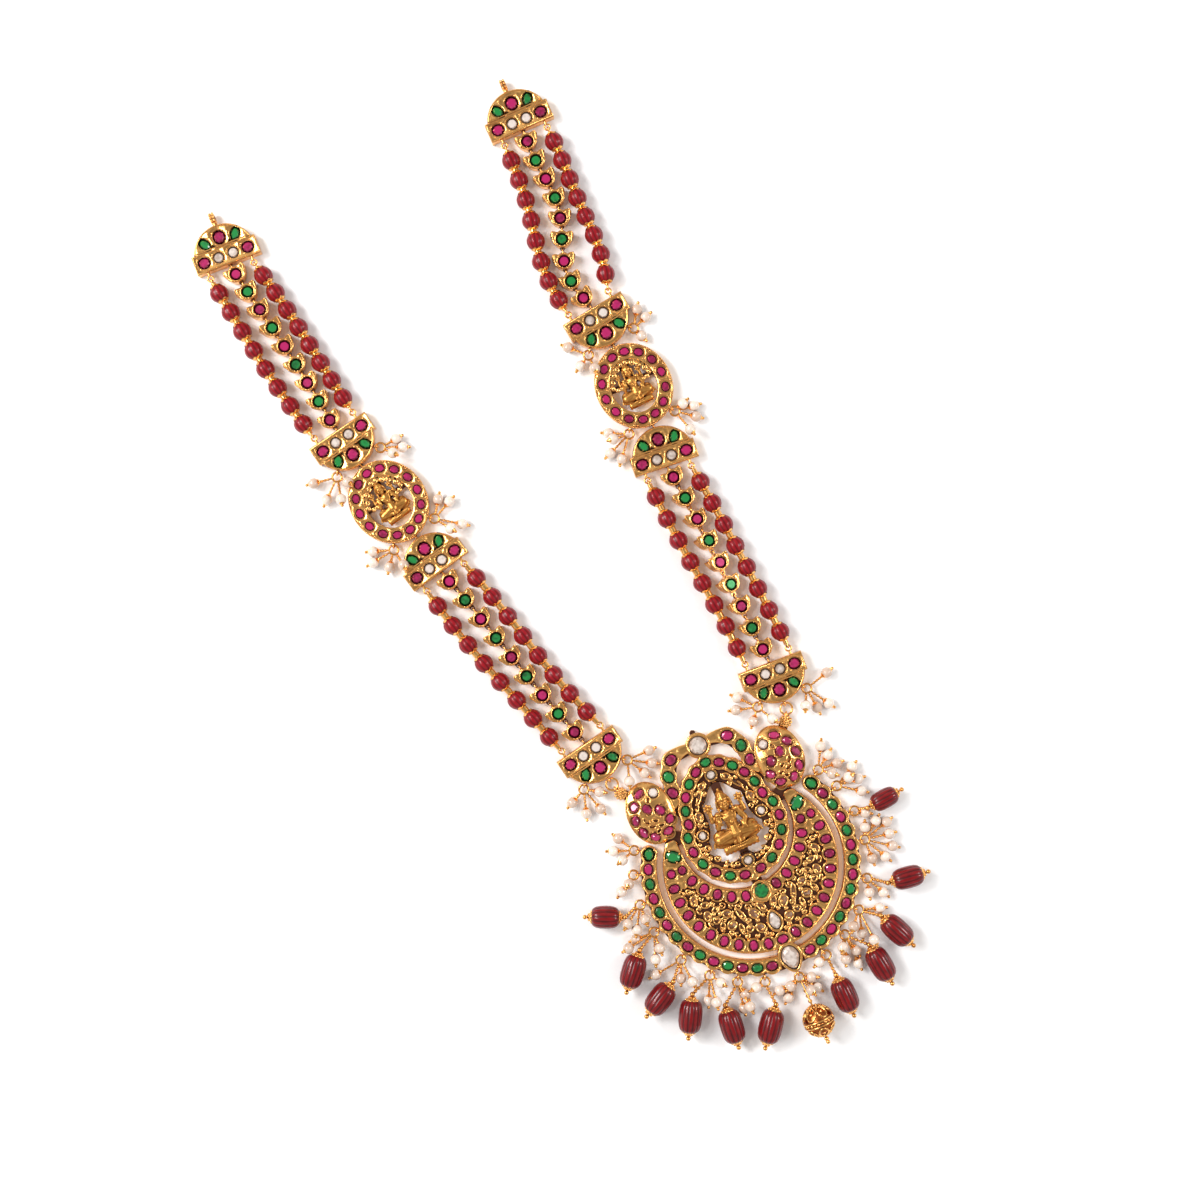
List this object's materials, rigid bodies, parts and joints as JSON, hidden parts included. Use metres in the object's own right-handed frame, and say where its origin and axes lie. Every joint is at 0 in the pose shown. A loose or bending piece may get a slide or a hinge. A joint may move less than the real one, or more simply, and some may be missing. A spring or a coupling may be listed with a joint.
{
  "type": "temple jewellery necklace",
  "caption": "Long pierced gold-tone necklace with a stone-set pendant, seated figure, fringe of carved drops and pearls, and two straps of half-moon spacers, ribbed beads and bud links",
  "frame": {"origin": "centre of the pendant's round outer band, on the flat back that lies on the table", "axes": "+Z out of the pendant's face, +Y up the pendant's middle towards the neck, +X to the right as worn facing the viewer"},
  "size_m": [0.1405, 0.3235, 0.0104],
  "materials": {
    "gold": "polished cast metal with antique gold plating, darker in the recesses",
    "wire": "drawn wire with cast bead caps, gold plated",
    "old_gold": "cast relief, antique gold with dark recesses",
    "gold_and_pearl": "gold-plated pins and caps with small cream pearls",
    "set_stones": "faceted magenta and green stones in collets",
    "emerald": "faceted green stone",
    "polki": "flat-cut foil-backed white stone",
    "ribbed_bead": "ribbed red glass, glossy",
    "carved_drop": "maroon barrel carved with fine lengthwise lines, glossy"
  },
  "bodies": {
    "root": {"pendant_plate": "gold", "pendant_figure": "old_gold", "top_stone": "polki", "bottom_stone": "polki", "centre_stone": "emerald", "tear_stone": "polki", "band_stones": "set_stones", "frame_stones": "set_stones", "arch_stones": "set_stones", "fringe_right": "gold_and_pearl", "fringe_left": "gold_and_pearl", "filigree_ball": "gold", "drop_r1": "carved_drop", "drop_r2": "carved_drop", "drop_r3": "carved_drop", "drop_r4": "carved_drop", "drop_r5": "carved_drop", "drop_l1": "carved_drop", "drop_l2": "carved_drop", "drop_l3": "carved_drop", "drop_l4": "carved_drop", "drop_l5": "carved_drop", "drop_l6": "carved_drop", "boss_rings": "gold", "half_moon_r1": "gold", "half_moon_r2": "gold", "half_moon_r3": "gold", "half_moon_r4": "gold", "half_moon_l1": "gold", "half_moon_l2": "gold", "half_moon_l3": "gold", "half_moon_l4": "gold", "medallion_r": "gold", "medallion_l": "gold", "medallion_figure_r": "old_gold", "medallion_figure_l": "old_gold", "strap_bunches_r": "gold_and_pearl", "strap_bunches_l": "gold_and_pearl", "links_r_upper": "gold", "links_r_lower": "gold", "links_l_upper": "gold", "links_l_lower": "gold", "beads_r_upper_in": "ribbed_bead", "beads_r_upper_out": "ribbed_bead", "beads_r_lower_in": "ribbed_bead", "beads_r_lower_out": "ribbed_bead", "beads_l_upper_in": "ribbed_bead", "beads_l_upper_out": "ribbed_bead", "beads_l_lower_in": "ribbed_bead", "beads_l_lower_out": "ribbed_bead", "wire_r_upper_in": "wire", "wire_r_upper_out": "wire", "wire_r_lower_in": "wire", "wire_r_lower_out": "wire", "wire_l_upper_in": "wire", "wire_l_upper_out": "wire", "wire_l_lower_in": "wire", "wire_l_lower_out": "wire"}
  },
  "joints": []
}
